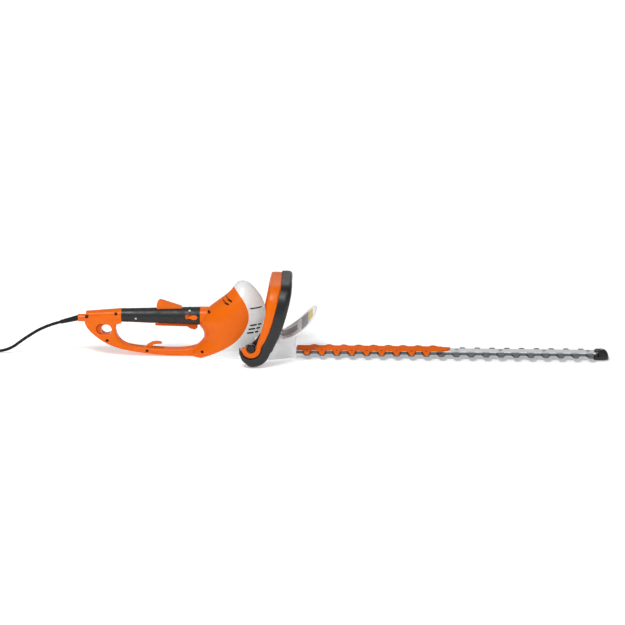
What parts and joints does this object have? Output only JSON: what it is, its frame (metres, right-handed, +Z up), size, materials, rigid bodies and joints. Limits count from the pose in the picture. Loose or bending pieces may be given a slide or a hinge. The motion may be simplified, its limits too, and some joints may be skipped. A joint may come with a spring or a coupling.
{
  "type": "hedge trimmer",
  "caption": "Mains hedge trimmer: long double-sided reciprocating blade, turning rear handle with trigger and lockout, front loop handle with switch bail, hand guard and short lead.",
  "frame": {"origin": "centre of the bounding box's base, without the cord, on the surface the machine stands on", "axes": "+X along the blade to its tip, +Z up, +Y to the operator's left"},
  "size_m": [1.6555, 0.2606, 0.2031],
  "materials": {
    "orange_shell": "moulded orange ABS with a fine eroded texture, slightly glossy",
    "grey_shell": "moulded pale grey ABS, fine texture",
    "light_grey_shell": "moulded light grey glass-filled nylon, fine texture",
    "black_plastic": "black moulded nylon, fine texture",
    "soft_grip": "black soft-touch overmoulding",
    "rubber": "black rubber cord and strain relief",
    "screw_steel": "zinc-plated steel fasteners and pins",
    "dark_screws": "blackened steel screws, deep in their holes",
    "bar_steel": "bright rolled steel bar",
    "blade_steel": "ground blade steel with bevelled tooth edges",
    "machined_steel": "machined and laminated steel",
    "spring_steel": "hard-drawn spring wire",
    "copper": "enamelled copper wire and copper segments",
    "carbon": "pressed carbon",
    "wire_insulation": "blue wire insulation",
    "cast_aluminium": "die-cast aluminium",
    "plug_brass": "nickel-plated brass pins",
    "label": "printed label without lettering",
    "capacitor_case": "yellow epoxy capacitor case"
  },
  "bodies": {
    "housing": {"housing_right": "orange_shell", "housing_left": "orange_shell", "blade_guard": "orange_shell", "motor_cover": "grey_shell", "gear_housing": "light_grey_shell", "nose_cover": "light_grey_shell", "hand_guard": "light_grey_shell", "loop_handle": "black_plastic", "tip_protector": "black_plastic", "bail_switch": "black_plastic", "brush_holders": "black_plastic", "fan_baffle": "black_plastic", "bearing_bridge": "black_plastic", "cord_clamp": "black_plastic", "plug_body": "black_plastic", "cord_sleeve": "rubber", "mains_cord": "rubber", "cord_tail": "rubber", "housing_screws": "dark_screws", "guide_bar": "bar_steel", "nose_screws": "screw_steel", "gear_cover_screws": "screw_steel", "bar_screws": "screw_steel", "tip_screw": "screw_steel", "index_ring": "screw_steel", "gear_axle": "machined_steel", "motor_bearings": "machined_steel", "stator_core": "machined_steel", "bail_springs": "spring_steel", "stator_windings": "copper", "carbon_brushes": "carbon", "supply_leads": "wire_insulation", "motor_leads": "wire_insulation", "gear_cover": "cast_aluminium", "plug_pins": "plug_brass", "guard_label": "label", "capacitor": "capacitor_case"},
    "grip": {"grip_right": "soft_grip", "grip_left": "soft_grip", "grip_screws": "screw_steel", "pivot_pins": "screw_steel", "trigger_spring": "spring_steel", "lockout_spring": "spring_steel", "grip_switch": "black_plastic", "grip_leads": "wire_insulation"},
    "trigger": {"trigger": "orange_shell"},
    "lockout": {"lockout_lever": "orange_shell"},
    "release": {"release_slide": "orange_shell", "release_spring": "spring_steel"},
    "bail": {"switch_bail": "orange_shell"},
    "rotor": {"rotor_shaft": "machined_steel", "armature_core": "machined_steel", "armature_windings": "copper", "commutator": "copper", "cooling_fan": "black_plastic", "pinion": "machined_steel"},
    "drive_gear": {"gear_wheel": "machined_steel", "eccentrics": "machined_steel"},
    "lower_cutter": {"lower_blade": "blade_steel"},
    "upper_cutter": {"upper_blade": "blade_steel"}
  },
  "joints": [
    {"name": "handle_turn", "type": "hinge", "parent": "housing", "child": "grip", "pos_m": [-0.44, 0, 0.099], "axis": [1, 0, 0], "range_deg": [-90, 90]},
    {"name": "trigger_pull", "type": "hinge", "parent": "grip", "child": "trigger", "pos_m": [-0.45, 0, 0.084], "axis": [0, -1, 0], "range_deg": [0, 4], "stiffness_Nm_per_rad": 0.6, "springref_deg": -6.88},
    {"name": "lockout_press", "type": "hinge", "parent": "grip", "child": "lockout", "pos_m": [-0.394, 0, 0.1115], "axis": [0, -1, 0], "range_deg": [0, 8], "stiffness_Nm_per_rad": 0.4, "springref_deg": -8.59},
    {"name": "release_pull", "type": "slide", "parent": "grip", "child": "release", "axis": [-1, 0, 0], "range_m": [0, 0.005], "stiffness_N_per_m": 300, "springref_m": -0.004},
    {"name": "bail_squeeze", "type": "hinge", "parent": "housing", "child": "bail", "pos_m": [-0.2215, 0, 0.0475], "axis": [0, 1, 0], "range_deg": [0, 1.6], "stiffness_Nm_per_rad": 8, "springref_deg": -4.58},
    {"name": "motor_spin", "type": "hinge", "parent": "housing", "child": "rotor", "pos_m": [-0.252, 0, 0], "axis": [0, 0, 1], "continuous": true},
    {"name": "gear_spin", "type": "hinge", "parent": "housing", "child": "drive_gear", "pos_m": [-0.216, 0, 0], "axis": [0, 0, 1], "continuous": true},
    {"name": "lower_stroke", "type": "slide", "parent": "housing", "child": "lower_cutter", "axis": [1, 0, 0], "range_m": [-0.009, 0.009]},
    {"name": "upper_stroke", "type": "slide", "parent": "housing", "child": "upper_cutter", "axis": [1, 0, 0], "range_m": [-0.009, 0.009]}
  ],
  "couplings": [
    {"joint": "gear_spin", "follows": "motor_spin", "ratio": -0.2},
    {"joint": "upper_stroke", "follows": "lower_stroke", "ratio": -1}
  ]
}
